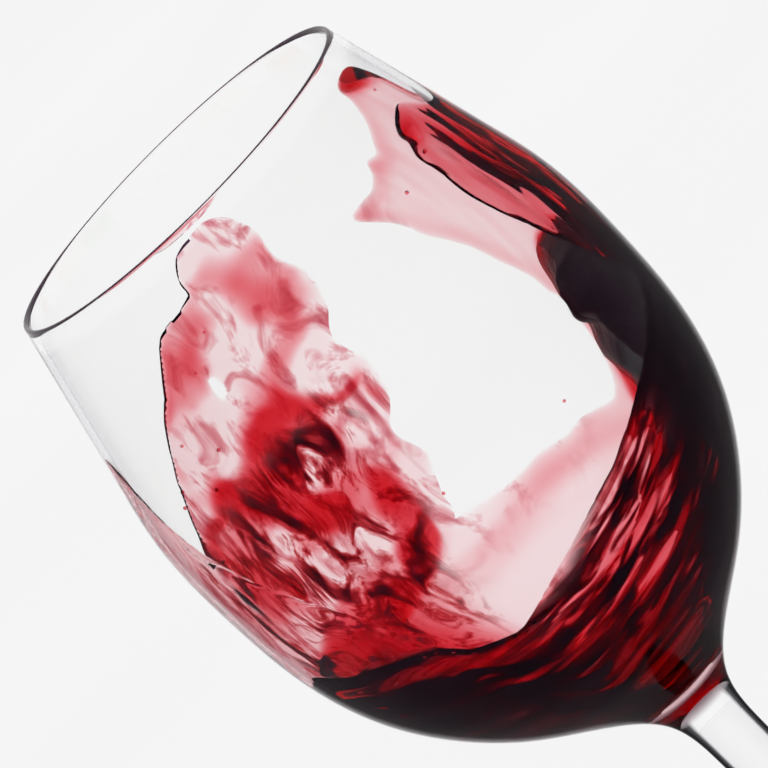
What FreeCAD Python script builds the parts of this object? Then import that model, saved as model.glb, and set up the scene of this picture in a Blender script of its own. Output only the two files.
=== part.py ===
"""Stemmed wine glass holding red wine caught in mid pour.

The glass is one blown piece: foot, stem and tulip bowl. The wine is one piece too: a shallow pool in the bottom of
the bowl that is thrown up the wall in two sheets, a thick wave on the +X side and a wide torn sheet on the -X side.

Frame: +Z up, origin on the axis at the plane the foot stands on. Millimetres. Angles go round the axis from +X
towards +Y, in degrees.
"""

import math
import os

import FreeCAD
import Part

# Glass, overall
glass_height = 225.0
rim_diameter = 70.2
bowl_diameter = 92.0
widest_height = 178.0
bowl_base_height = 97.4  # where the bowl's curve would meet the axis
wall = 1.1
bowl_floor_rise = 6.8  # of the floor inside, on the axis, over the bowl_base_height

# Curve of the bowl: how full its lower half is, and how soon its upper half runs straight
lower_fullness = 3.45
lower_roundness = 1.15
shoulder_bend = 0.1

# Stem and foot
stem_diameter = 8.0
stem_top_diameter = 10.1
stem_top_height = 88.0
collar_diameter = 13.0
collar_height = 98.6
foot_diameter = 78.0
foot_edge_thickness = 2.2
foot_hub_height = 10.0
foot_hub_diameter = 15.0
foot_ring_width = 8.0
foot_hollow_depth = 1.2

# Wine
film_thickness = 1.5  # the thinnest sheet on the wall
lip_width = 3.0  # over which a sheet's edge rounds up from the wall
dry_reach = 2.5  # how far the air's shape runs into the wall where the wall is dry
air_centre_height = 168.0  # every line from here to the wall leaves the wine only once

# Height of the wine's edge on the wall, as (angle, height), once round from the middle of the -Y side.
# It doubles back where a sheet leans over the dry wall beside it.
near_edge = [(-90, 143.5), (-79, 146), (-66, 148.5), (-55, 151.5), (-45, 154), (-36, 156.5)]
wave_front_edge = [(-27, 162), (-31, 171), (-36.5, 179.5), (-40.5, 188), (-42, 197), (-40, 206)]
wave_crest = [(-33, 210), (-24, 211.5), (-5, 206), (16, 212.5), (30, 215), (39, 212)]
wave_back_edge = [(42, 204), (55, 197), (69, 190), (60, 181), (52, 168), (47.5, 153)]
far_edge = [(53, 140), (74, 137.5), (90, 140)]
sheet_inner_edge = [(96, 152), (94, 168), (86, 182), (86, 196), (96, 208)]
sheet_crest = [(107, 203), (119, 202), (127, 198.5), (138, 191), (148, 182)]
sheet_outer_edge = [(159, 174), (164, 166), (164, 157), (174, 149), (188, 149), (199, 152), (210, 150), (226, 148.7)]
low_edge = [(237, 146.5), (244, 141), (253, 139.5), (262, 141.5)]
wine_edge = (
    near_edge
    + wave_front_edge
    + wave_crest
    + wave_back_edge
    + far_edge
    + sheet_inner_edge
    + sheet_crest
    + sheet_outer_edge
    + low_edge
)

# Where the wine is thick: (added thickness, angle, spread of angle, height, spread of height)
swells = [
    (8.5, 4, 36, 148, 27),  # root of the wave
    (6.0, 215, 45, 128, 22),  # under the pouring point
    (3.0, 138, 28, 160, 16),  # foot of the sheet
]
pool_depth = 7.0
pool_spread = 15.0

# Fineness of the air's shape
air_columns = 90
air_rows = 44


def bowl_radius(height):
    """Outer radius of the bowl."""
    widest = bowl_diameter / 2
    if height < widest_height:
        down = (widest_height - height) / (widest_height - bowl_base_height)
        return widest * (1 - down**lower_fullness) ** lower_roundness
    up = (height - widest_height) / (glass_height - widest_height)
    bend = math.sqrt(up**2 + shoulder_bend**2) - shoulder_bend
    full_bend = math.sqrt(1 + shoulder_bend**2) - shoulder_bend
    return widest - (widest - rim_diameter / 2) * bend / full_bend


def inside_point(height):
    """Point (radius, height) of the inner wall across from the outer wall's point at this height."""
    step = 0.01
    slope = (bowl_radius(height + step) - bowl_radius(height - step)) / (2 * step)
    length = math.hypot(1, slope)
    return bowl_radius(height) - wall / length, height + wall * slope / length


def between(low, high, count):
    """Evenly spaced values from low to high."""
    return [low + (high - low) * i / (count - 1) for i in range(count)]


def curve(points, start=None, end=None):
    """Smooth edge through (radius, height) points, with the end directions if given."""
    spline = Part.BSplineCurve()
    vectors = [FreeCAD.Vector(r, 0, z) for r, z in points]
    if start is None:
        spline.interpolate(vectors)
    else:
        spline.interpolate(
            Points=vectors,
            InitialTangent=FreeCAD.Vector(start[0], 0, start[1]),
            FinalTangent=FreeCAD.Vector(end[0], 0, end[1]),
        )
    return spline.toShape()


def line(a, b):
    return Part.LineSegment(FreeCAD.Vector(a[0], 0, a[1]), FreeCAD.Vector(b[0], 0, b[1])).toShape()


def arc(a, middle, b):
    points = [FreeCAD.Vector(r, 0, z) for r, z in (a, middle, b)]
    return Part.Arc(*points).toShape()


def turned(edges):
    """Solid made by turning a closed outline round Z."""
    face = Part.Face(Part.Wire(Part.__sortEdges__(edges)))
    solid = face.revolve(FreeCAD.Vector(0, 0, 0), FreeCAD.Vector(0, 0, 1), 360)
    return Part.makeSolid(solid.Shells[0]) if solid.ShapeType != "Solid" else solid


lip_height = glass_height - wall / 2
cone_height = bowl_base_height + 9.0  # the bowl's own curve starts here, above the stem's flare


def inner_wall_points():
    """Inner wall from the bowl's floor on the axis up to the lip."""
    floor = [(0.0, bowl_base_height + bowl_floor_rise)]
    return floor + [inside_point(h) for h in between(cone_height + 1.0, lip_height, 13)]


def make_glass():
    foot_radius = foot_diameter / 2
    outer = [
        (foot_radius - foot_edge_thickness / 2, foot_edge_thickness),
        (foot_radius * 0.55, foot_edge_thickness + 2.1),
        (foot_hub_diameter / 2, foot_hub_height),
        (stem_diameter / 2 + 0.5, foot_hub_height * 2.1),
        (stem_diameter / 2, stem_top_height / 2),
        (stem_top_diameter / 2, stem_top_height),
        (collar_diameter / 2, collar_height),
    ]
    outer += [(bowl_radius(h), h) for h in between(cone_height, lip_height, 13)]
    inner = inner_wall_points()
    lip_out, lip_in = outer[-1], inner[-1]
    lip_top = ((lip_out[0] + lip_in[0]) / 2, glass_height)
    edge_top = outer[0]
    edge_side = (foot_radius, foot_edge_thickness / 2)
    edge_bottom = (foot_radius - foot_edge_thickness / 2, 0.0)
    ring_inner = foot_radius - foot_edge_thickness / 2 - foot_ring_width
    hollow_top = (0.0, foot_hollow_depth)
    hollow_side = (ring_inner * 0.7, foot_hollow_depth * 0.62)
    up_out = (lip_out[0] - outer[-2][0], lip_out[1] - outer[-2][1])
    return turned(
        [
            curve(outer, start=(-1.0, 0.03), end=up_out),
            arc(lip_out, lip_top, lip_in),
            curve(inner, start=(1.0, 0.0), end=up_out),
            line(inner[0], hollow_top),
            arc(hollow_top, hollow_side, (ring_inner, 0.0)),
            line((ring_inner, 0.0), edge_bottom),
            arc(edge_bottom, edge_side, edge_top),
        ]
    )


def make_hollow():
    """All the space inside the bowl, up to the lip."""
    inner = inner_wall_points()
    top = inner[-1]
    up_in = (top[0] - inner[-2][0], top[1] - inner[-2][1])
    return turned(
        [
            curve(inner, start=(1.0, 0.0), end=up_in),
            line(top, (0.0, top[1])),
            line((0.0, top[1]), inner[0]),
        ]
    )


def wall_rows():
    """Points up the inner wall, (radius, height), at even steps along it."""
    edge = curve(inner_wall_points(), start=(1.0, 0.0), end=(-0.3, 1.0))
    return [(p.x, p.z) for p in edge.discretize(air_rows + 1)[1:]]


def edge_distance(angle, height):
    """How far a point of the wall lies inside the wine's edge, in mm along the wall; less than 0 where it is dry."""
    scale = math.pi / 180 * bowl_diameter / 2
    px, py = angle * scale, height
    nearest, crossings = 1e9, 0
    loop = [(a - 360, h) for a, h in wine_edge] + wine_edge + [(a + 360, h) for a, h in wine_edge]
    for (a0, h0), (a1, h1) in zip(loop, loop[1:]):
        x0, x1 = a0 * scale, a1 * scale
        dx, dy = x1 - x0, h1 - h0
        t = ((px - x0) * dx + (py - h0) * dy) / (dx * dx + dy * dy)
        t = max(0.0, min(1.0, t))
        nearest = min(nearest, math.hypot(px - x0 - t * dx, py - h0 - t * dy))
        if (x0 <= px) != (x1 <= px):
            if h0 + (px - x0) / dx * dy > py:
                crossings += 1
    return nearest if crossings % 2 else -nearest


def thickness(angle, radius, height):
    """Thickness of the wine over a point of the wall; less than 0 runs into the wall."""
    inside = edge_distance(angle, height)
    if inside <= 0:
        return -min(dry_reach, 0.4 - inside)
    depth = film_thickness
    for added, at_angle, wide, at_height, tall in swells:
        turn = (angle - at_angle + 180) % 360 - 180
        depth += added * math.exp(-((turn / wide) ** 2) - ((height - at_height) / tall) ** 2)
    depth += pool_depth * math.exp(-((radius / pool_spread) ** 2))
    rise = min(1.0, inside / lip_width)
    return depth * math.sqrt(1 - (1 - rise) ** 2)


def make_air():
    """The space over the wine: a smooth closed shape that runs into the wall wherever the wall is dry."""
    rows = []
    for radius, height in wall_rows():
        row = []
        for column in range(air_columns):
            angle = -90 + 360.0 * column / air_columns
            deep = thickness(angle, radius, height)
            reach = math.hypot(radius, height - air_centre_height)
            keep = 1 - deep / reach
            r = radius * keep
            z = air_centre_height + (height - air_centre_height) * keep
            a = math.radians(angle)
            row.append(FreeCAD.Vector(r * math.cos(a), r * math.sin(a), z))
        rows.append(row)
    lowest = sum(p.z for p in rows[0]) / air_columns
    rows[0] = [FreeCAD.Vector(p.x, p.y, lowest) for p in rows[0]]
    top_height = glass_height + 5.0
    rim_reach = rim_diameter / 2 + dry_reach
    directions = [math.radians(-90 + 360.0 * c / air_columns) for c in range(air_columns)]
    rows.append([FreeCAD.Vector(rim_reach * math.cos(a), rim_reach * math.sin(a), top_height) for a in directions])
    poles = [[rows[j][i] for j in range(len(rows))] for i in range(air_columns)]
    side = Part.BSplineSurface()
    row_knots = list(range(len(rows) - 2))
    row_mults = [4] + [1] * (len(row_knots) - 2) + [4]
    column_knots = list(range(air_columns + 1))
    side.buildFromPolesMultsKnots(
        poles,
        [1] * len(column_knots),
        row_mults,
        column_knots,
        row_knots,
        True,
        False,
        3,
        3,
    )
    skin = side.toShape()
    rings = sorted((e for e in skin.Edges if e.isClosed()), key=lambda e: e.BoundBox.ZMax)
    caps = [Part.Face(Part.Wire([rings[0]])), Part.Face(Part.Wire([rings[-1]]))]
    shell = Part.Shell([skin] + caps)
    shell.sewShape()
    return Part.makeSolid(shell)


def make_wine(hollow):
    wine = hollow.cut(make_air())
    return max(wine.Solids, key=lambda s: s.Volume)


def main():
    os.makedirs("parts", exist_ok=True)
    glass = make_glass()
    wine = make_wine(make_hollow())
    for name, shape in (("glass", glass), ("wine", wine)):
        print(name, "valid", shape.isValid(), "cm3", round(shape.Volume / 1000, 2), "faces", len(shape.Faces))
        shape.exportStep(f"parts/{name}.step")


main()
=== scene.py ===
# A stemmed glass of red wine, caught while the wine still swings up the bowl.
# Every size in a settings dictionary is in millimetres or degrees; meshes are made in metres.
import math

import bpy
import numpy as np
from mathutils import Matrix, Vector, noise


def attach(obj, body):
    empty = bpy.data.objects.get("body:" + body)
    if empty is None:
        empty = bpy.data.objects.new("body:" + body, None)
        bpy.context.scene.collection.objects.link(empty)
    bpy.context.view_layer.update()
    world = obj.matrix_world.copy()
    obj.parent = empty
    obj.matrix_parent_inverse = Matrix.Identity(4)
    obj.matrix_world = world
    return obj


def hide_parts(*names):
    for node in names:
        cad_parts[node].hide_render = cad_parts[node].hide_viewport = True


mm = 0.001
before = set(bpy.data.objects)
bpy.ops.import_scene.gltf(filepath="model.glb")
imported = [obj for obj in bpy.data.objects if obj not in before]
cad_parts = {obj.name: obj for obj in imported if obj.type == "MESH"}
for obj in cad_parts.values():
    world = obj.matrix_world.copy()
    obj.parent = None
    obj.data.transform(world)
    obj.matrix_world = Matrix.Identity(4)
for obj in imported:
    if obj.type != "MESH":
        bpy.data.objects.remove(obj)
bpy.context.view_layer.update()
print("frame loaded:", sorted(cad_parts))


def colour(hexCode, alpha=1.0):
    channels = [int(hexCode[i : i + 2], 16) / 255 for i in (0, 2, 4)]
    return [c / 12.92 if c <= 0.04045 else ((c + 0.055) / 1.055) ** 2.4 for c in channels] + [alpha]


def addNode(tree, kind, settings=None, values=None, links=None):
    node = tree.nodes.new(kind)
    for name, value in (settings or {}).items():
        setattr(node, name, value)
    for socket, value in (values or {}).items():
        node.inputs[socket].default_value = value
    for socket, source in (links or {}).items():
        tree.links.new(source, node.inputs[socket])
    return node


def setStops(ramp, stops):
    # colours of a ramp, as (position, hex value)
    (first, firstCode), (last, lastCode) = stops[0], stops[-1]
    ramp.elements[0].position, ramp.elements[0].color = first, colour(firstCode)
    ramp.elements[1].position, ramp.elements[1].color = last, colour(lastCode)
    for position, code in stops[1:-1]:
        ramp.elements.new(position).color = colour(code)


def newMaterial(name):
    material = bpy.data.materials.new(name)
    material.use_nodes = True
    material.node_tree.nodes.clear()
    return material, material.node_tree


def smoothCurve(points, perSpan, start=None, end=None):
    # one smooth line through the points, with the end directions if they are given
    p = np.array(points, float)
    gaps = np.linalg.norm(np.diff(p, axis=0), axis=1)
    n = len(p)
    rows, right = np.zeros((n, n)), np.zeros((n, 2))
    for i in range(1, n - 1):
        a, b = gaps[i - 1], gaps[i]
        rows[i, i - 1 : i + 2] = b, 2 * (a + b), a
        right[i] = 3 * (b * (p[i] - p[i - 1]) / a + a * (p[i + 1] - p[i]) / b)
    for i, j, gap, way in ((0, 1, gaps[0], start), (n - 1, n - 2, gaps[-1], end)):
        rows[i, i] = 1 if way is not None else 2
        if way is not None:
            right[i] = np.array(way, float) / np.linalg.norm(way)
        else:
            rows[i, j] = 1
            right[i] = 3 * (p[max(i, j)] - p[min(i, j)]) / gap
    slopes = np.linalg.solve(rows, right)
    line = []
    for i in range(n - 1):
        for t in np.linspace(0, 1, perSpan, endpoint=False):
            a = (1 + 2 * t) * (1 - t) ** 2 * p[i] + t * t * (3 - 2 * t) * p[i + 1]
            line.append(a + gaps[i] * (t * (1 - t) ** 2 * slopes[i] - t * t * (1 - t) * slopes[i + 1]))
    return np.array(line + [p[-1]])


def meshPiece(name, points, faces, material):
    mesh = bpy.data.meshes.new(name)
    mesh.from_pydata([tuple(p) for p in np.asarray(points) * mm], [], faces)
    mesh.materials.append(material)
    mesh.polygons.foreach_set("use_smooth", [True] * len(mesh.polygons))
    mesh.validate()
    piece = bpy.data.objects.new(name, mesh)
    bpy.context.scene.collection.objects.link(piece)
    return piece


cameraSet = {
    "distance": 1200.0,
    "reference": 165.0,
    "elevation": 12.75,
    "roll": 45.14,
    "lens": 338.3,
    "aim": (0.26, 0.0, 175.6),
}
studioSet = {
    "floorRadius": 6000.0,
    "floorDrop": -0.4,
    "floor": "D2D2D2",
    "floorPale": "D8D8D8",
    "mottleSize": 1000 / 3,
    "horizon": "C4C4C4",
    "horizonAt": 0.35,
    "zenith": "FFFFFF",
    "strength": 1.76,
}


def makeCamera(s):
    tilt, roll = math.radians(s["elevation"]), math.radians(s["roll"])
    place = Vector((0, -math.cos(tilt), math.sin(tilt))) * s["distance"] + Vector((0, 0, s["reference"]))
    back = (place - Vector(s["aim"])).normalized()
    side = Vector((0, 0, 1)).cross(back).normalized()
    up = back.cross(side)
    right = side * math.cos(roll) - up * math.sin(roll)
    top = side * math.sin(roll) + up * math.cos(roll)
    data = bpy.data.cameras.new("camera")
    data.lens, data.sensor_width = s["lens"], 36.0
    data.clip_start, data.clip_end = 0.05, 30.0
    camera = bpy.data.objects.new("camera", data)
    bpy.context.scene.collection.objects.link(camera)
    turn = Matrix((right, top, back)).transposed().to_4x4()
    camera.matrix_world = Matrix.Translation(place * mm) @ turn
    bpy.context.scene.camera = camera


def makeFloor(s):
    material, tree = newMaterial("matte paper floor")
    where = addNode(tree, "ShaderNodeTexCoord").outputs["Object"]
    perMetre = 1000 / s["mottleSize"]
    mottle = addNode(tree, "ShaderNodeTexNoise", values={"Scale": perMetre, "Detail": 4.0}, links={"Vector": where})
    tone = addNode(tree, "ShaderNodeValToRGB", links={"Fac": mottle.outputs["Fac"]})
    setStops(tone.color_ramp, ((0.0, s["floor"]), (1.0, s["floorPale"])))
    paper = addNode(
        tree,
        "ShaderNodeBsdfPrincipled",
        values={"Roughness": 0.9, "Specular IOR Level": 0.0},
        links={"Base Color": tone.outputs["Color"]},
    )
    addNode(tree, "ShaderNodeOutputMaterial", links={"Surface": paper.outputs["BSDF"]})
    around = np.linspace(0, 2 * math.pi, 96, endpoint=False)
    corners = [(s["floorRadius"] * math.cos(a), s["floorRadius"] * math.sin(a), s["floorDrop"]) for a in around]
    floor = meshPiece("floor", corners, [tuple(range(len(corners)))], material)


def makeWorld(s):
    world = bpy.data.worlds.new("soft tent")
    world.use_nodes = True
    tree = world.node_tree
    tree.nodes.clear()
    where = addNode(tree, "ShaderNodeTexCoord").outputs["Generated"]
    split = addNode(tree, "ShaderNodeSeparateXYZ", links={"Vector": where})
    ramp = addNode(tree, "ShaderNodeValToRGB", links={"Fac": split.outputs["Z"]})
    setStops(ramp.color_ramp, ((s["horizonAt"], s["horizon"]), (1.0, s["zenith"])))
    light = addNode(
        tree, "ShaderNodeBackground", values={"Strength": s["strength"]}, links={"Color": ramp.outputs["Color"]}
    )
    addNode(tree, "ShaderNodeOutputWorld", links={"Surface": light.outputs["Background"]})
    bpy.context.scene.world = world


makeCamera(cameraSet)
makeFloor(studioSet)
makeWorld(studioSet)
scene = bpy.context.scene
scene.view_settings.view_transform = "Standard"
scene.cycles.max_bounces = 28
scene.cycles.transmission_bounces = 28
scene.cycles.glossy_bounces = 8
scene.cycles.blur_glossy = 0.3
print("studio ready")


glassSet = {
    "height": 225.0,
    "rimDiameter": 70.2,
    "bowlDiameter": 91.97,
    "widestHeight": 178.0,
    "bowlBase": 97.4,
    "wall": 1.1,
    "floorHeight": 104.2,
    "fullness": 3.45,
    "roundness": 1.15,
    "shoulderBend": 0.1,
    "coneAbove": 9.0,
    "stem": [(38.0, 2.2), (21.45, 4.3), (7.5, 10.0), (4.5, 21.0), (4.0, 44.0), (5.05, 88.0), (6.5, 98.6)],
    "foot": [(0.0, 1.2), (14.0, 1.1), (25.0, 0.55), (29.9, 0.0)],
    "footEdge": (38.0, 1.0, 1.1),  # radius of its middle, half its width, half its height
    "columns": 200,
    "look": {
        "ior": 1.5,
        "glint": (1.0, 0.4, 0.85, 1.0),
        "waveSize": (50 / 3, 50 / 3, 250 / 3),  # of the faint waviness left by blowing
        # painted shade: colours from facing the eye to seen edge-on, for the thin bowl and the solid stem,
        # darkening the glass at its edges in place of dark surroundings seen in it
        "bowl": ((0.0, "FEFEFE"), (0.6, "FCFCFC"), (0.85, "ECECEE"), (1.0, "B4B4BA")),
        "stem": ((0.0, "FEFEFE"), (0.36, "F6F6F7"), (0.46, "4C4C50"), (0.6, "08080A")),
        # painted shade: a darker, reddish colour for the thick neck under the bowl
        "paintedNeckShade": "A8949A",
        # where each look sets in, as heights (none, full)
        "spans": {
            "aboveFoot": (13.0, 24.0),
            "underBowl": (101.0, 98.0),
            "underPool": (104.5, 102.5),
            "lip": (220.5, 222.0),
        },
        "lipWhite": 0.8,
        "lipThin": 0.65,
        "dullOutside": (0.8, 0.97, 0.9, 0.1),
        "dullInside": (0.235, 0.254, 0.92, 0.0),
    },
}


def bowlRadius(height):
    g = glassSet
    widest = g["bowlDiameter"] / 2
    if height < g["widestHeight"]:
        down = (g["widestHeight"] - height) / (g["widestHeight"] - g["bowlBase"])
        return widest * (1 - down ** g["fullness"]) ** g["roundness"]
    up = (height - g["widestHeight"]) / (g["height"] - g["widestHeight"])
    bend = math.sqrt(up**2 + g["shoulderBend"] ** 2) - g["shoulderBend"]
    full = math.sqrt(1 + g["shoulderBend"] ** 2) - g["shoulderBend"]
    return widest - (widest - g["rimDiameter"] / 2) * bend / full


def insidePoint(height):
    tiny = 0.01
    slope = (bowlRadius(height + tiny) - bowlRadius(height - tiny)) / (2 * tiny)
    length = math.hypot(1, slope)
    return bowlRadius(height) - glassSet["wall"] / length, height + glassSet["wall"] * slope / length


coneHeight = glassSet["bowlBase"] + glassSet["coneAbove"]
lipHeight = glassSet["height"] - glassSet["wall"] / 2


def wayOut(points):
    return points[-1][0] - points[-2][0], points[-1][1] - points[-2][1]


def innerWall(perSpan=12):
    heights = np.linspace(coneHeight + 1.0, lipHeight, 13)
    points = [(0.0, glassSet["floorHeight"])] + [insidePoint(h) for h in heights]
    return smoothCurve(points, perSpan, start=(1, 0), end=wayOut(points))


def outerWall():
    points = glassSet["stem"] + [(bowlRadius(h), h) for h in np.linspace(coneHeight, lipHeight, 13)]
    return smoothCurve(points, 9, start=(-1, 0.03), end=wayOut(points))


def dullness(tree, facing, outside, inside):
    # share of the light that only passes through: each side of the surface starts to mirror at its own slant
    shares = []
    for low, high, atLow, atHigh in (outside, inside):
        values = {1: low, 2: high, 3: atLow, 4: atHigh}
        shares.append(addNode(tree, "ShaderNodeMapRange", values=values, links={0: facing}).outputs[0])
    side = addNode(tree, "ShaderNodeNewGeometry").outputs["Backfacing"]
    return addNode(tree, "ShaderNodeMix", links={0: side, 2: shares[0], 3: shares[1]}).outputs[0]


def makeGlassMaterial(look):
    # lead-free crystal, blown and fire-polished: clear, with painted shade that darkens it where it is seen
    # edge-on, in place of dark surroundings, and a faint waviness left by blowing
    material, tree = newMaterial("blown crystal glass")
    where = addNode(tree, "ShaderNodeTexCoord").outputs["Object"]
    waves = tuple(1000 / v for v in look["waveSize"])
    place = addNode(tree, "ShaderNodeMapping", values={"Scale": waves}, links={"Vector": where})
    wave = addNode(
        tree, "ShaderNodeTexNoise", values={"Scale": 1.0, "Detail": 1.0}, links={"Vector": place.outputs["Vector"]}
    )
    waviness = addNode(
        tree, "ShaderNodeBump", values={"Strength": 0.02, "Distance": 0.002}, links={"Height": wave.outputs["Fac"]}
    ).outputs["Normal"]
    facing = addNode(tree, "ShaderNodeLayerWeight", values={"Blend": 0.5}).outputs["Facing"]
    # painted shade: the glass's colour darkens with slant, so its edges come out dark
    edgeShadeTints = {}
    for name in ("bowl", "stem"):
        ramp = addNode(tree, "ShaderNodeValToRGB", links={"Fac": facing})
        setStops(ramp.color_ramp, look[name])
        edgeShadeTints[name] = ramp.outputs["Color"]
    height = addNode(tree, "ShaderNodeSeparateXYZ", links={"Vector": where}).outputs["Z"]
    spans = {}
    for name, (none, full) in look["spans"].items():
        values = {1: none * mm, 2: full * mm, 3: 0.0, 4: 1.0}
        spans[name] = addNode(tree, "ShaderNodeMapRange", values=values, links={0: height}).outputs[0]
    for name, operation, values, links in (
        ("stem", "MULTIPLY", {}, ("underBowl", "aboveFoot")),
        ("belowPool", "MULTIPLY", {}, ("underPool", "aboveFoot")),
        ("paintedNeckShade", "SUBTRACT", {}, ("belowPool", "stem")),
        ("whiteLip", "MULTIPLY", {1: look["lipWhite"]}, ("lip",)),
        ("thinLip", "MULTIPLY_ADD", {1: -look["lipThin"], 2: 1.0}, ("lip",)),
    ):
        sources = {i: spans[link] for i, link in enumerate(links)}
        node = addNode(tree, "ShaderNodeMath", settings={"operation": operation}, values=values, links=sources)
        spans[name] = node.outputs[0]
    tint = addNode(
        tree,
        "ShaderNodeMix",
        settings={"data_type": "RGBA"},
        links={0: spans["stem"], 6: edgeShadeTints["bowl"], 7: edgeShadeTints["stem"]},
    ).outputs[2]
    # painted shade: the neck under the bowl is thick, and its colour is darkened and reddened in place of the dim
    # wine seen through it; the fire-polished lip is thin and clear
    for name, code in (("paintedNeckShade", look["paintedNeckShade"]), ("whiteLip", "FFFFFF")):
        tint = addNode(
            tree,
            "ShaderNodeMix",
            settings={"data_type": "RGBA"},
            values={7: colour(code)},
            links={0: spans[name], 6: tint},
        ).outputs[2]
    crystal = addNode(
        tree,
        "ShaderNodeBsdfPrincipled",
        values={"Transmission Weight": 1.0, "IOR": look["ior"], "Roughness": 0.0, "Specular Tint": look["glint"]},
        links={"Base Color": tint, "Normal": waviness},
    )
    bare = addNode(
        tree,
        "ShaderNodeBsdfRefraction",
        values={"IOR": look["ior"], "Roughness": 0.0},
        links={"Color": tint, "Normal": waviness},
    )
    dull = dullness(tree, facing, look["dullOutside"], look["dullInside"])
    share = addNode(
        tree, "ShaderNodeMath", settings={"operation": "MULTIPLY"}, links={0: dull, 1: spans["thinLip"]}
    ).outputs[0]
    both = addNode(
        tree, "ShaderNodeMixShader", links={0: share, 1: crystal.outputs["BSDF"], 2: bare.outputs["BSDF"]}
    )
    addNode(tree, "ShaderNodeOutputMaterial", links={"Surface": both.outputs["Shader"]})
    return material


def makeGlass(material):
    g = glassSet
    outer, inner = outerWall(), innerWall()
    lipOut, lipIn = outer[-1], inner[-1]
    middle, half = (lipOut + lipIn) / 2, (lipOut - lipIn) / 2
    rise = np.array([0.0, g["height"] - middle[1]])
    lip = [middle + half * math.cos(a) + rise * math.sin(a) for a in np.linspace(0, math.pi, 9)[1:-1]]
    radius, wide, tall = g["footEdge"]
    quarter = math.pi / 2
    slants = np.linspace(-quarter, quarter, 9)[:-1]
    edge = [(radius + wide * math.cos(a), tall + tall * math.sin(a)) for a in slants]
    under = smoothCurve(g["foot"], 6, start=(1, 0))
    profile = [tuple(p) for line in (under, edge, outer, lip, inner[::-1]) for p in line]
    count = g["columns"]
    points, faces = [(0.0, 0.0, profile[0][1])], []
    for r, z in profile[1:-1]:
        for c in range(count):
            a = 2 * math.pi * c / count
            points.append((r * math.cos(a), r * math.sin(a), z))
    points.append((0.0, 0.0, profile[-1][1]))
    last = len(points) - 1
    rings = len(profile) - 2
    for c in range(count):
        d = (c + 1) % count
        faces.append((0, 1 + d, 1 + c))
        for j in range(rings - 1):
            a, b = 1 + j * count, 1 + (j + 1) * count
            faces.append((a + c, a + d, b + d, b + c))
        top = 1 + (rings - 1) * count
        faces.append((top + c, top + d, last))
    return meshPiece("wine_glass", points, faces, material)


glass = makeGlass(makeGlassMaterial(glassSet["look"]))
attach(glass, "root")
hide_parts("glass")
print("glass made,", len(glass.data.polygons), "faces")


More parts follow.
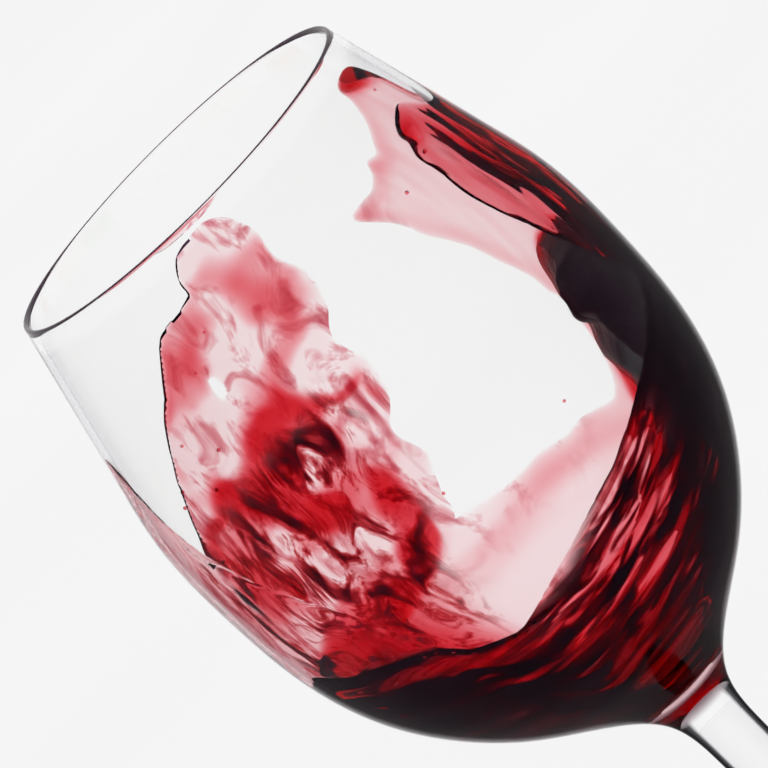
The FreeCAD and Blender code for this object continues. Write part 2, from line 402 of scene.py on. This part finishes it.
wineSet = {
    "columns": 394,  # of the grid on the bowl's inner wall that the wine is cut from
    "rows": 172,
    "gridTop": 217.0,
    "intoWall": 0.03,  # how far its hidden side lies inside the glass
    "centre": 168.0,  # height of the point that its thickness grows towards
    "unrolledRadius": 44.0,  # of the wall, as it is unrolled to measure distances on it
    "levelRadius": 43.0,  # of the wall where the body's edge lies
    # height of the body's edge on the wall, once round, as (angle, height)
    "level": [
        (-180, 146.5), (-170, 149.5), (-161, 152), (-150, 150), (-134, 148.7), (-124, 147), (-118, 142),
        (-107, 139.5), (-98, 141.5), (-90, 143.5), (-79, 146), (-66, 148.5), (-55, 151.5), (-45, 154),
        (-36, 156), (-26, 160), (-15, 166), (0, 171), (20, 171.5), (34, 171), (39, 168), (41.5, 163),
        (43, 158), (41.5, 152), (43.5, 147), (45, 142.5), (48, 138.6), (54, 138.8), (60, 139.3), (66, 138.4),
        (75, 139.4), (86, 138.8), (100, 141), (115, 146), (135, 149), (160, 147.5),
    ],
    # the wave on the +X side and the sheet on the -X side, as outlines of (angle, height)
    "wave": [
        (-8, 156), (-20, 161.4), (-26, 167.2), (-32.7, 174.2), (-36.7, 179.5), (-39.2, 184.5), (-41.3, 190.4),
        (-41.9, 195), (-41.2, 199), (-41.2, 203.5), (-38.5, 206.2), (-36.3, 208.9), (-32, 210), (-26, 210.2),
        (-18, 206.6), (-9, 205), (-1, 208), (5, 205.5), (9, 207), (12, 211.5), (17, 215), (24, 215.3),
        (31, 214), (35.6, 212), (36.5, 209), (40.5, 204.3), (45, 200.5), (48, 198.2), (51.9, 197.9),
        (54, 195.5), (58, 193.3), (62.4, 192.8), (66, 192), (67, 190.4), (64.5, 188.3), (61, 185.6),
        (58.2, 180.9), (55.6, 178), (52.7, 174.8), (50.7, 171.6), (48.7, 168.1), (45.5, 163.5), (42, 157),
        (20, 150),
    ],
    "sheet": [
        (166, 140), (164.5, 150), (163, 158), (163.5, 166), (162, 170), (160, 172.5), (157, 174.5),
        (153.2, 177), (147.7, 182.2), (142.7, 187), (137.7, 191.2), (131.6, 195), (126.5, 198.7),
        (122.7, 201.1), (118.2, 202.2), (112.7, 201.7), (108.5, 202.4), (108.3, 205), (106.6, 207.6),
        (103.6, 209.2), (98, 209.8), (92, 209.4), (87.5, 206.8), (85, 202), (86.5, 196.5), (84, 190),
        (86, 183), (90.5, 178), (88.5, 171.5), (90, 165), (95.5, 159), (94, 152), (98, 146), (104, 139),
        (135, 136),
    ],
    # an almost clear film that the swing left on the glass, beside the sheet
    "film": [
        (158, 148), (160, 168), (168, 186), (180, 198.5), (190, 199.3), (201, 188), (212, 176.5), (223, 165),
        (233, 154), (236, 146), (200, 142),
    ],
    "tear": (118.0, 187.6, 1.2, 2.3),  # a hole in the sheet: angle, height, half its width and height
    # how far in from its edge each part comes to its full thickness
    "bodyLip": 3.0,
    "waveLip": 2.2,
    "sheetLip": 1.6,
    "filmLip": 2.0,
    # thickness of each part, and what its streaks, folds and deeper places add to it
    "bodySkin": 0.2,
    "bodyDeepens": 1.7,
    "bodySides": 2.2,  # share added away from the -Y side
    "bodyStreaks": 0.55,
    "veilSkin": 0.07,
    "veilClouds": 0.15,
    "veilFoot": 0.6,
    "waveSkin": 0.075,
    "waveFront": 0.4,
    "waveTip": 1.5,
    "sheetSkin": 0.12,
    "sheetBlotches": 1.05,
    "sheetFolds": 1.3,
    "curlHeight": 173.5,
    "curlRidge": 1.1,
    "filmSkin": 0.02,
    "filmStreaks": 0.012,
    # rounded swells, as (thickness, angle, half width, height, half height, how far they are streaked)
    "bodySwells": [
        (2.5, 181, 14, 134, 8, 0), (1.7, 156, 13, 136, 8, 0.7),
        (3.0, 186, 26, 126, 13, 0.6), (3.2, 222, 24, 124, 11, 0.6),
    ],
    "waveSwells": [
        (2.2, 27, 8, 213.5, 2.4, 0), (0.2, 65, 5, 191, 3, 0),
        (0.2, 52, 5, 196.5, 2.5, 0), (1.3, -34, 4, 207.5, 2.5, 0),
    ],
    "sheetSwells": [(0.5, 128, 10, 196, 6, 0), (-0.35, 107, 9, 190, 8, 0)],
    # face of the wave's root, as (height, x)
    "waveFace": [
        (108, 14), (113, 19), (118, 23.5), (125, 27.5), (132, 29.8), (139, 31), (145, 30.3), (148, 31.2),
        (152, 32.7), (158, 32.4), (166, 34), (172, 36), (182, 41),
    ],
    "poolTop": 107.0,
    "poolTilt": 0.05,
    "look": {
        "ior": 1.34,
        "glint": (0.9, 0.2, 0.8, 1.0),
        "density": 2200.0,
        "passes": (0.912, 0.02, 0.12, 1.0),
        # painted shade: the wine's colour from facing the eye to seen edge-on, darkening its steep edges
        "edgeShade": ((0.0, "FFFFFF"), (0.75, "F4E0E2"), (1.0, "7A3A46")),
        "dullOutside": (0.8, 1.0, 0.9, 0.9),
        "dullInside": (0.31, 0.334, 0.88, 0.1),
        # painted shade: dark streaks with paler gaps, painted into the wine's colour in place of the refraction
        # lines of its rippled surface; a zone is where one shows, as (place, where it is gone, where it is full)
        "paintedStreaks": {
            "ripples": {
                "hangs": True, "zone": (("y", -4, -14), ("underEdge", 144, 138)),
                "shift": (0.0, 0.0, 0.0), "tilt": (0, 12, 0), "grainSize": (36.0, 36.0, 2.7),
                "detail": 3.0, "roughness": 0.55, "swirl": 0.5,
                "stops": ((0.32, "22060E"), (0.42, "96202E"), (0.51, "E89CA4"), (0.57, "FFFFFF")),
            },
            "wavelets": {
                "hangs": True, "zone": (("y", -4, -14), ("underEdge", 144, 138), ("z", 116, 126), ("x", -20, -5)),
                "shift": (2.0, 0.0, 1.0), "tilt": (0, 0, 0), "grainSize": (10.0, 10.0, 2.3),
                "detail": 2.5, "roughness": 0.5, "swirl": 0.8,
                "stops": ((0.36, "3A0A14"), (0.45, "B03A48"), (0.53, "FFFFFF")),
            },
            "silk": {
                "hangs": False, "zone": (("z", 128, 145), ("x", 30, 0)),
                "shift": (1.0, 4.0, 2.0), "tilt": (0, 24, 0), "grainSize": (8.0, 8.0, 17.0),
                "detail": 4.0, "roughness": 0.6, "swirl": 1.4,
                "stops": ((0.32, "DE909C"), (0.42, "F4D2D6"), (0.5, "FFFFFF")),
            },
            "folds": {
                "hangs": False, "zone": (("y", 2, 10), ("outOfVeil", -4, -12), ("z", 177, 169), ("z", 118, 128)),
                "shift": (3.0, 1.0, 0.0), "tilt": (0, -14, 0), "grainSize": (7.0, 7.0, 15.0),
                "detail": 5.0, "roughness": 0.62, "swirl": 1.6,
                "stops": ((0.31, "30080F"), (0.39, "A02836"), (0.45, "DC7880"), (0.51, "FFFFFF")),
            },
            "strands": {
                "hangs": False, "zone": (("x", 28, 31), ("y", -26, -18), ("y", 14, 4), ("z", 206, 194)),
                "shift": (0.0, 2.0, 0.0), "tilt": (0, 6, 0), "grainSize": (3.0, 3.0, 34.0),
                "detail": 2.5, "roughness": 0.5, "swirl": 0.4,
                "stops": ((0.32, "2A0A12"), (0.43, "A02A3A"), (0.55, "FFFFFF")),
            },
        },
    },
}


def smoothLoop(points, perSpan=5):
    p = np.array(points, float)
    n, line = len(p), []
    for i in range(n):
        a, b, c, d = p[i - 1], p[i], p[(i + 1) % n], p[(i + 2) % n]
        once, twice, thrice = c - a, 2 * a - 5 * b + 4 * c - d, 3 * b - a - 3 * c + d
        for t in np.linspace(0, 1, perSpan, endpoint=False):
            line.append(0.5 * (2 * b + once * t + twice * t**2 + thrice * t**3))
    return np.array(line)


def insideDistance(angles, heights, outline):
    # distance inside an outline on the unrolled wall, less than 0 outside
    scale = math.pi / 180 * wineSet["unrolledRadius"]
    loop = smoothLoop(outline) * [scale, 1]
    best = np.full(angles.shape, -1e9)
    for turn in (-360, 0, 360):
        x, y = (angles + turn) * scale, heights
        near, odd = np.full(x.shape, 1e9), np.zeros(x.shape, bool)
        for (x0, y0), (x1, y1) in zip(loop, np.roll(loop, -1, axis=0)):
            dx, dy = x1 - x0, y1 - y0
            t = np.clip(((x - x0) * dx + (y - y0) * dy) / (dx * dx + dy * dy + 1e-12), 0, 1)
            near = np.minimum(near, np.hypot(x - x0 - t * dx, y - y0 - t * dy))
            if y0 != y1:
                odd ^= ((y0 <= y) != (y1 <= y)) & (x < x0 + (y - y0) / dy * dx)
        best = np.maximum(best, np.where(odd, near, -near))
    return best


def levelAt(angles):
    keys = np.array(wineSet["level"], float)
    wrapped = (angles + 180) % 360 - 180
    x = np.concatenate([keys[:, 0] - 360, keys[:, 0], keys[:, 0] + 360])
    y = np.tile(keys[:, 1], 3)
    spread = sum(np.interp(wrapped + off, x, y) * w for off, w in ((-2, 1), (-1, 2), (0, 3), (1, 2), (2, 1)))
    return spread / 9


def grain(x, y, z, seed):
    shift = seed * 17.3, seed * 5.1, seed * 9.7
    return np.array([noise.noise((a + shift[0], b - shift[1], c + shift[2])) for a, b, c in zip(x, y, z)])


def swells(angles, heights, places, streak=0.0):
    total = np.zeros(angles.shape)
    for thickness, at, wide, atHeight, tall, streaked in places:
        turn = (angles - at + 180) % 360 - 180
        shape = np.exp(-((turn / wide) ** 2) - ((heights - atHeight) / tall) ** 2)
        total += thickness * (1 + streaked * streak) * shape
    return total


def rounded(distance, width):
    rise = np.clip(distance / width, 0, 1)
    return np.sqrt(1 - (1 - rise) ** 2)


def soft(distance, width):
    return 1 - (1 - np.clip(distance / width, 0, 1)) ** 2


def step(value, low, high):
    t = np.clip((value - low) / (high - low), 0, 1)
    return t * t * (3 - 2 * t)


def blend(a, b, width):
    # the larger of two, joined smoothly over a width
    mix = np.clip(0.5 + 0.5 * (a - b) / width, 0, 1)
    return b * (1 - mix) + a * mix + width * mix * (1 - mix)


def wineThickness(angles, heights, radii):
    # thickness over the wall, and the distance inside the wine's edge
    w = wineSet
    turn = (angles + 180) % 360 - 180
    a = np.radians(angles)
    x, y, z = radii * np.cos(a), radii * np.sin(a), heights
    reach = np.hypot(radii, z - w["centre"])
    level = levelAt(angles)
    slope = (levelAt(angles + 1.5) - levelAt(angles - 1.5)) / (3 * math.pi / 180 * w["levelRadius"])
    bodyIn = (level - z) / np.sqrt(1 + slope**2)
    waveIn, sheetIn, filmIn = (insideDistance(angles, z, w[name]) for name in ("wave", "sheet", "film"))
    atAngle, atHeight, wide, tall = w["tear"]
    hole = np.hypot((turn - atAngle) * 0.78 / wide, (z - atHeight) / tall) - 1
    sheetIn = np.minimum(sheetIn, hole * wide)
    wobble = grain(x / 5, y / 5, z / 5, 1)
    bodyIn, waveIn = bodyIn + wobble * 0.25, waveIn + wobble * 0.3
    sheetIn, filmIn = sheetIn + wobble * 0.5, filmIn + wobble * 0.5
    edge = np.maximum(np.maximum(bodyIn, filmIn), np.maximum(waveIn, sheetIn))

    # body: a thin streaked skin where it climbs, thicker towards the pool
    share = np.clip((z - 104) / (level - 104), 0, 1)
    warp = 0.03 * grain(x / 10, y / 10, z / 10, 10)
    streak = grain(x / 26, y / 26, (share + warp) * 12, 2)
    streak = streak + 0.35 * grain(x / 12, y / 12, (share + warp) * 30, 3)
    side = step(np.abs(turn + 80), 18, 62)
    body = (w["bodySkin"] + w["bodyDeepens"] * (1 - share) ** 1.5) * (1 + w["bodySides"] * side)
    body = np.clip(body + np.clip(6 * (1 - share), 0.25, 1) * w["bodyStreaks"] * streak, 0.08, 12)
    body = body + swells(angles, z, w["bodySwells"], streak)
    thin = step(turn, 36, 46) * step(turn, 150, 112) * step(z, 108, 116)
    cloud = np.clip(1 + 1.6 * grain(x / 14, y / 14, z / 4, 4), 0.1, 2.5)
    veil = w["veilSkin"] + w["veilClouds"] * step(z, 127, 137) * cloud + w["veilFoot"] * step(z, 122, 110)
    body = (body * (1 - thin) + thin * veil) * soft(bodyIn, w["bodyLip"])

    # the wave's root: solid wine from the wall in to an upright face
    faceHeights, faceX = np.array(w["waveFace"], float).T
    faceAt = np.interp(z, faceHeights, faceX) + 0.5 * grain(x / 7, y / 7, z / 7, 15)
    root = reach * (1 - faceAt / (radii * np.clip(np.cos(a), 0.05, 1) + 1e-6))
    root = np.clip(root, -5, 14) - 15 * (1 - rounded(bodyIn, 3.0))
    total = np.where(np.cos(a) > 0.2, blend(body, root, 0.8), body)

    # wave: pink at its front edge, then streaked and dark; pale at the back, dark where its tip gathers
    strands = grain(x / 2.6, y / 2.6, z / 26, 5) + 0.5 * grain(x / 1.3, y / 1.3, z / 16, 11)
    dark = step(turn, -31, -22) * step(turn, 10, -6) * step(z, 209, 194)
    front = step(turn, 10, -6)
    wave = w["waveSkin"] + w["waveFront"] * front + w["waveTip"] * dark
    wave = wave + (0.07 + 0.2 * front + 1.2 * dark) * strands
    wave = wave + swells(angles, z, w["waveSwells"]) + 0.12 * (1 - front) * step(waveIn, 5, 1)
    lip = 0.6 * front * rounded(waveIn, w["waveLip"]) + (1 - 0.6 * front) * soft(waveIn, w["waveLip"])
    total = total + np.clip(wave, 0.06, 8) * lip

    # sheet: a smooth pink film above a curled lip, and below it folds that run down to the pool
    blotch = grain(x / 12, y / 12, z / 12, 6) + 0.4 * grain(x / 5, y / 5, z / 5, 7)
    warpX, warpZ = 4.0 * grain(x / 9, y / 9, z / 9, 12), 4.0 * grain(x / 9, y / 9, z / 9, 13)
    fold = grain((x + warpX) / 8, (y + warpX) / 8, (z + warpZ) / 17, 8)
    curl = w["curlHeight"] + 9 * blotch
    busy = step(z, curl + 1, curl - 3) * step(sheetIn, -0.5, 3)
    sheet = w["sheetSkin"] + w["sheetBlotches"] * np.clip(blotch, -0.08, 1) + swells(angles, z, w["sheetSwells"])
    sheet += w["curlRidge"] * np.exp(-(((z - curl) / 1.8) ** 2)) * step(sheetIn, 1, 5)
    face = 0.35 + 0.65 * step(turn, 165, 140)  # thinner where it is seen edge-on
    sheet += busy * face * (0.06 + w["sheetFolds"] * step(fold, -0.02, 0.36))
    sheet *= 0.3 + 0.7 * step(turn, 164, 148)
    sharp = 0.5 * step(turn, 100, 116) * step(z, 170, 177)
    lip = sharp * rounded(sheetIn, w["sheetLip"]) + (1 - sharp) * soft(sheetIn, w["sheetLip"])
    total = total + np.clip(sheet, 0.06, 8) * lip
    film = w["filmSkin"] + w["filmStreaks"] * np.clip(grain(x / 2.5, y / 2.5, z / 30, 16), -0.6, 1)
    total = total + film * soft(filmIn, w["filmLip"])

    # pool: lies at its own level, a little higher towards -X
    poolTop = w["poolTop"] - w["poolTilt"] * x + 0.5 * grain(x / 9, y / 9, 0 * x, 14)
    pool = (poolTop - z) / (w["centre"] - z) * reach
    total = blend(total, np.where(z < 150, pool, -9), 2.0)

    edge = np.where((edge > 0) & (edge < 0.14), -0.01, edge)  # no slivers along the edge
    skin = w["intoWall"] * (rounded(edge, 0.6) - 1)
    return np.where(edge > 0, skin + total, -w["intoWall"]), edge


def makeWineMesh(material):
    w = wineSet
    wallLine = innerWall(24)
    lengths = np.concatenate([[0], np.cumsum(np.linalg.norm(np.diff(wallLine, axis=0), axis=1))])
    ways = np.gradient(wallLine, axis=0)
    normals = np.stack([ways[:, 1], -ways[:, 0]], axis=1)
    normals /= np.linalg.norm(normals, axis=1)[:, None]
    wallTable = np.hstack([wallLine, normals])
    count, rows = w["columns"], w["rows"]

    def wallAt(length):
        # radius, height and outward direction at a length along the inner wall
        return [np.interp(length, lengths, column) for column in wallTable.T]

    along = np.interp(w["gridTop"], wallLine[:, 1], lengths) * (np.arange(rows) + 1) / rows
    gridAngle, gridAlong = (grid.ravel() for grid in np.meshgrid(np.arange(count) * 360 / count, along))
    gridRadius, gridHeight = wallAt(gridAlong)[:2]
    thick, edge = wineThickness(gridAngle, gridHeight, gridRadius)

    def placed(angle, length, deep):
        r, z, nr, nz = wallAt(length)
        a = np.radians(angle)
        aimZ = w["centre"] + 0.75 * np.clip(z - w["centre"], 0, None)
        reach = np.hypot(r, z - aimZ)
        rr = np.where(deep < 0, r - nr * deep, r * (1 - deep / reach))
        zz = np.where(deep < 0, z - nz * deep, z + (aimZ - z) * deep / reach)
        return np.stack([rr * np.cos(a), rr * np.sin(a), zz], axis=1)

    free = placed(gridAngle, gridAlong, thick)
    hidden = placed(gridAngle, gridAlong, np.full(thick.shape, -w["intoWall"]))
    inside = (edge > 0).reshape(rows, count)
    edge = edge.reshape(rows, count)
    points, faces = [], []
    freeId, hiddenId, cuts, cutPlaces = {}, {}, {}, []

    def corner(table, source, j, i):
        if (j, i) not in table:
            table[j, i] = len(points)
            points.append(source[j * count + i])
        return table[j, i]

    def cut(j0, i0, j1, i1):
        # point where the wine's edge crosses a side of the grid
        key = (j0, i0, j1, i1) if (j0, i0) < (j1, i1) else (j1, i1, j0, i0)
        if key not in cuts:
            j0, i0, j1, i1 = key
            e0, e1 = edge[j0, i0], edge[j1, i1]
            t = min(max(e0 / (e0 - e1), 0.02), 0.98)
            turn = (i1 - i0 + count // 2) % count - count // 2
            cuts[key] = len(points)
            cutPlaces.append((len(points), (i0 + turn * t) * 360 / count, along[j0] + (along[j1] - along[j0]) * t))
            points.append(None)
        return cuts[key]

    for j in range(rows - 1):
        for i in range(count):
            ring = [(j, i), (j, (i + 1) % count), (j + 1, (i + 1) % count), (j + 1, i)]
            state = [inside[p] for p in ring]
            if not any(state):
                continue
            outline = []
            for k in range(4):
                p, q = ring[k], ring[(k + 1) % 4]
                if state[k]:
                    outline.append(("corner", p))
                if state[k] != state[(k + 1) % 4]:
                    outline.append(("cut", p + q))
            up = [corner(freeId, free, *c) if kind == "corner" else cut(*c) for kind, c in outline]
            down = [corner(hiddenId, hidden, *c) if kind == "corner" else cut(*c) for kind, c in outline]
            faces.append(tuple(reversed(up)))
            faces.append(tuple(down))
    floorHeight = glassSet["floorHeight"]
    onFloor = wineThickness(np.array([0.0]), np.array([floorHeight]), np.array([0.0]))[0][0]
    for table, source, flip, deep in ((freeId, free, False, onFloor), (hiddenId, hidden, True, -w["intoWall"])):
        pole = len(points)
        points.append(np.array([0.0, 0.0, floorHeight + deep]))
        for i in range(count):
            a, b = corner(table, source, 0, i), corner(table, source, 0, (i + 1) % count)
            faces.append((pole, b, a) if flip else (pole, a, b))
    ids, angles, lengthsAt = (np.array(v) for v in zip(*cutPlaces))
    found = placed(angles.astype(float), lengthsAt.astype(float), np.full(len(ids), -w["intoWall"]))
    for n, p in zip(ids, found):
        points[int(n)] = p
    piece = meshPiece("wine_splash", np.array(points), faces, material)
    # the edge on the glass is sharp, so the thin film beside it lies flat; only the sheet's torn edge is round
    turn = (angles + 180) % 360 - 180
    fromTear = np.hypot(turn - w["tear"][0], found[:, 2] - w["tear"][1])
    torn = (turn > 99) & (turn < 170) & (found[:, 2] > 163) & (fromTear > 5)
    rim = set(int(n) for n in ids[~torn])
    for line in piece.data.edges:
        line.use_edge_sharp = line.vertices[0] in rim and line.vertices[1] in rim
    return piece


def zoneMask(tree, places, zone):
    # 1 where every place is past its limit, fading smoothly to 0
    mask = None
    for name, none, full in zone:
        part = addNode(
            tree,
            "ShaderNodeMapRange",
            settings={"interpolation_type": "SMOOTHSTEP"},
            values={1: none * mm, 2: full * mm},
            links={0: places[name]},
        ).outputs[0]
        if mask is not None:
            part = addNode(
                tree, "ShaderNodeMath", settings={"operation": "MULTIPLY"}, links={0: mask, 1: part}
            ).outputs[0]
        mask = part
    return mask


def paintedStreaks(tree, where, under, mask, r):
    # painted shade: dark streaks in place of the refraction lines of the rippled wine, laid over the colour under
    # them where the mask is 1
    turned, scaled = tuple(math.radians(v) for v in r["tilt"]), tuple(1000 / v for v in r["grainSize"])
    place = addNode(
        tree,
        "ShaderNodeMapping",
        values={"Location": r["shift"], "Rotation": turned, "Scale": scaled},
        links={"Vector": where},
    )
    grains = addNode(
        tree,
        "ShaderNodeTexNoise",
        values={"Scale": 1.0, "Detail": r["detail"], "Roughness": r["roughness"], "Distortion": r["swirl"]},
        links={"Vector": place.outputs["Vector"]},
    )
    ramp = addNode(tree, "ShaderNodeValToRGB", links={"Fac": grains.outputs["Fac"]})
    setStops(ramp.color_ramp, r["stops"])
    return addNode(
        tree,
        "ShaderNodeMix",
        settings={"data_type": "RGBA", "blend_type": "MULTIPLY"},
        links={0: mask, 6: under, 7: ramp.outputs["Color"]},
    ).outputs[2]


def makeWineMaterial(look):
    # dry red wine: clear, its colour from depth, so a film is pink and the body nearly black; painted shade darkens
    # it where seen edge-on and lays dark streaks in place of the lines of its rippled surface
    material, tree = newMaterial("red wine")
    where = addNode(tree, "ShaderNodeTexCoord").outputs["Object"]
    split = addNode(tree, "ShaderNodeSeparateXYZ", links={"Vector": where})
    x, y, z = (split.outputs[i] for i in range(3))
    places = {"x": x, "y": y, "z": z}
    # the wine's edge rises towards +X on the near side, and the pale veil starts further out low down
    for name, start, values, source in (
        ("underEdge", z, {1: 0.0, 2: 0.04, 3: 0.0, 4: -0.02}, x),
        ("outOfVeil", x, {1: 0.138, 2: 0.15, 3: 0.008, 4: 0.0}, z),
    ):
        lean = addNode(tree, "ShaderNodeMapRange", values=values, links={0: source}).outputs[0]
        places[name] = addNode(
            tree, "ShaderNodeMath", settings={"operation": "ADD"}, links={0: start, 1: lean}
        ).outputs[0]
    # the painted ripple shade hangs in arcs that climb more steeply towards +X
    slope = addNode(
        tree, "ShaderNodeMath", settings={"operation": "MULTIPLY_ADD"}, values={1: 6.0, 2: 0.1}, links={0: x}
    ).outputs[0]
    climb = addNode(tree, "ShaderNodeMath", settings={"operation": "MULTIPLY"}, links={0: slope, 1: x}).outputs[0]
    sunk = addNode(tree, "ShaderNodeMath", settings={"operation": "SUBTRACT"}, links={0: z, 1: climb}).outputs[0]
    arcs = addNode(tree, "ShaderNodeCombineXYZ", links={0: x, 1: y, 2: sunk}).outputs[0]
    facing = addNode(tree, "ShaderNodeLayerWeight", values={"Blend": 0.5}).outputs["Facing"]
    # painted shade: dark outlines where the wine is seen edge-on
    edges = addNode(tree, "ShaderNodeValToRGB", links={"Fac": facing})
    setStops(edges.color_ramp, look["edgeShade"])
    tint = edges.outputs["Color"]
    for r in look["paintedStreaks"].values():
        tint = paintedStreaks(tree, arcs if r["hangs"] else where, tint, zoneMask(tree, places, r["zone"]), r)
    wine = addNode(
        tree,
        "ShaderNodeBsdfPrincipled",
        values={"Transmission Weight": 1.0, "IOR": look["ior"], "Roughness": 0.0, "Specular Tint": look["glint"]},
        links={"Base Color": tint},
    )
    bare = addNode(
        tree, "ShaderNodeBsdfRefraction", values={"IOR": look["ior"], "Roughness": 0.0}, links={"Color": tint}
    )
    dull = dullness(tree, facing, look["dullOutside"], look["dullInside"])
    both = addNode(tree, "ShaderNodeMixShader", links={0: dull, 1: wine.outputs["BSDF"], 2: bare.outputs["BSDF"]})
    depth = addNode(
        tree, "ShaderNodeVolumeAbsorption", values={"Color": look["passes"], "Density": look["density"]}
    )
    addNode(
        tree,
        "ShaderNodeOutputMaterial",
        links={"Surface": both.outputs["Shader"], "Volume": depth.outputs["Volume"]},
    )
    return material


wine = makeWineMesh(makeWineMaterial(wineSet["look"]))
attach(wine, "root")
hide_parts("wine")
triangles = sum(len(p.vertices) - 2 for p in wine.data.polygons)
print("wine made,", triangles, "triangles")


dropletSet = {
    "seed": 11,
    "smallest": 0.2,
    "largest": 0.42,
    # chains of small bubbles on the wine's edge, as (from angle, to angle, below the edge, count)
    "chains": ((-128, -104, 1.2, 9),),
    # single ones on the films, as (angle, height)
    "single": (
        (151, 180.2), (147.5, 182.0), (137, 186.5), (121, 192.5), (129, 180.5), (139, 177), (112, 196),
        (157, 170), (52, 189), (24, 209), (-37, 203), (61, 143.2), (98, 145.5),
    ),
}


def dropletPlaces(d):
    spots = []
    for start, end, under, count in d["chains"]:
        for a in np.linspace(start, end, count):
            spots.append((float(a), float(levelAt(np.array([a]))[0]) - under))
    spots = np.array(spots + [(float(a), float(h)) for a, h in d["single"]])
    wallLine = innerWall(24)
    radii = np.interp(spots[:, 1], wallLine[:, 1], wallLine[:, 0])
    deep = np.clip(wineThickness(spots[:, 0], spots[:, 1], radii)[0], 0.1, 4.0) + 0.1
    a = np.radians(spots[:, 0])
    return np.stack([(radii - deep) * np.cos(a), (radii - deep) * np.sin(a), spots[:, 1]], axis=1)


def makeDroplets(d, material):
    # small bubbles and drops held on the wine: one ball, set on every place at a size of its own
    mesh = bpy.data.meshes.new("droplet places")
    mesh.from_pydata([tuple(p) for p in dropletPlaces(d) * mm], [], [])
    holder = bpy.data.objects.new("droplet places", mesh)
    bpy.context.scene.collection.objects.link(holder)

    tree = bpy.data.node_groups.new("droplets on places", "GeometryNodeTree")
    tree.interface.new_socket("Places", in_out="INPUT", socket_type="NodeSocketGeometry")
    kinds = {"Smallest": "Float", "Largest": "Float", "Seed": "Int", "Liquid": "Material"}
    for name, kind in kinds.items():
        tree.interface.new_socket(name, in_out="INPUT", socket_type="NodeSocket" + kind)
    tree.interface.new_socket("Droplets", in_out="OUTPUT", socket_type="NodeSocketGeometry")
    given = addNode(tree, "NodeGroupInput").outputs
    ball = addNode(tree, "GeometryNodeMeshIcoSphere", values={"Radius": 1.0, "Subdivisions": 3})
    size = addNode(
        tree, "FunctionNodeRandomValue", links={2: given["Smallest"], 3: given["Largest"], "Seed": given["Seed"]}
    )
    put = addNode(
        tree,
        "GeometryNodeInstanceOnPoints",
        links={"Points": given["Places"], "Instance": ball.outputs["Mesh"], "Scale": size.outputs[1]},
    )
    real = addNode(tree, "GeometryNodeRealizeInstances", links={"Geometry": put.outputs["Instances"]})
    smooth = addNode(tree, "GeometryNodeSetShadeSmooth", links={"Geometry": real.outputs["Geometry"]})
    dressed = addNode(
        tree,
        "GeometryNodeSetMaterial",
        links={"Geometry": smooth.outputs["Geometry"], "Material": given["Liquid"]},
    )
    addNode(tree, "NodeGroupOutput", links={"Droplets": dressed.outputs["Geometry"]})

    modifier = holder.modifiers.new("droplets", "NODES")
    modifier.node_group = tree
    chosen = {"Smallest": d["smallest"] * mm, "Largest": d["largest"] * mm, "Seed": d["seed"], "Liquid": material}
    for item in tree.interface.items_tree:
        if item.in_out == "INPUT" and item.name in chosen:
            modifier[item.identifier] = chosen[item.name]
    bpy.context.view_layer.update()
    made = bpy.data.meshes.new_from_object(holder.evaluated_get(bpy.context.evaluated_depsgraph_get()))
    made.name = "wine_droplets"
    bpy.data.objects.remove(holder)
    piece = bpy.data.objects.new("wine_droplets", made)
    bpy.context.scene.collection.objects.link(piece)
    return piece


droplets = makeDroplets(dropletSet, wine.data.materials[0])
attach(droplets, "root")
print("droplets made,", len(droplets.data.polygons), "triangles")
